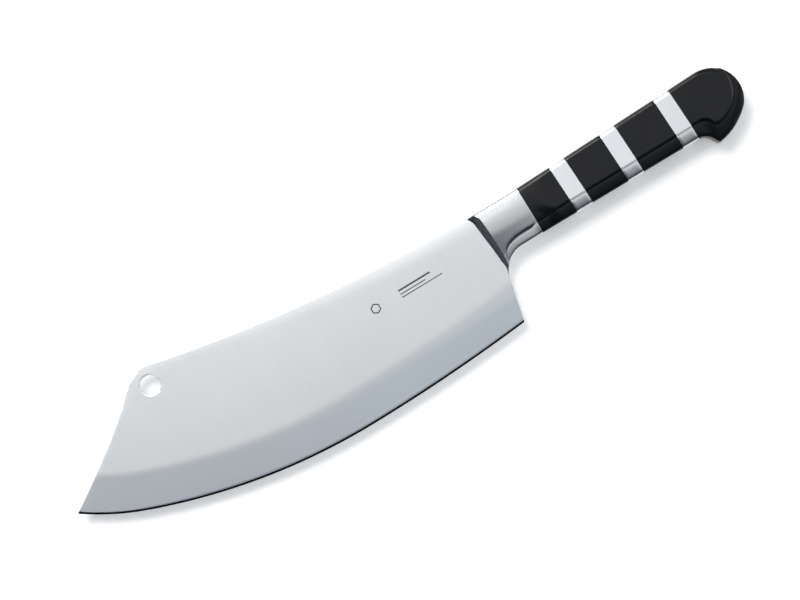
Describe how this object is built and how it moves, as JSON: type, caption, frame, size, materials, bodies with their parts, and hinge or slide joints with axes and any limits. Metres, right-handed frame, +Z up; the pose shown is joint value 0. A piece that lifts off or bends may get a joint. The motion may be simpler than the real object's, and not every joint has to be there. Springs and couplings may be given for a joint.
{
  "type": "meat cleaver",
  "caption": "Forged cleaver-shaped kitchen knife: broad upswept blade with a hanging hole, coved bolster and a black stacked handle with steel rings and a hooked pommel.",
  "frame": {"origin": "centre of the bounding box in plan, on the surface that the knife's side lies on", "axes": "+X along the knife towards the butt of the handle, +Y towards the spine, +Z up through the thickness"},
  "size_m": [0.3218, 0.069, 0.017],
  "materials": {
    "blade_steel": "satin ground stainless steel, finely brushed from spine to edge",
    "bolster_steel": "the same forged steel as the blade, more finely polished",
    "ring_steel": "satin stainless steel, brushed across the handle",
    "handle_black": "satin black moulded plastic",
    "stud_steel": "plain threaded stainless rod",
    "insert_brass": "turned brass",
    "bedding_resin": "cured dark epoxy resin"
  },
  "bodies": {
    "root": {"blade": "blade_steel", "bolster": "bolster_steel", "front_segment": "handle_black", "front_ring": "ring_steel", "second_segment": "handle_black", "middle_ring": "ring_steel", "third_segment": "handle_black", "rear_ring": "ring_steel", "pommel": "handle_black", "tang_stud": "stud_steel", "pommel_insert": "insert_brass", "tang_bedding": "bedding_resin"}
  },
  "joints": []
}
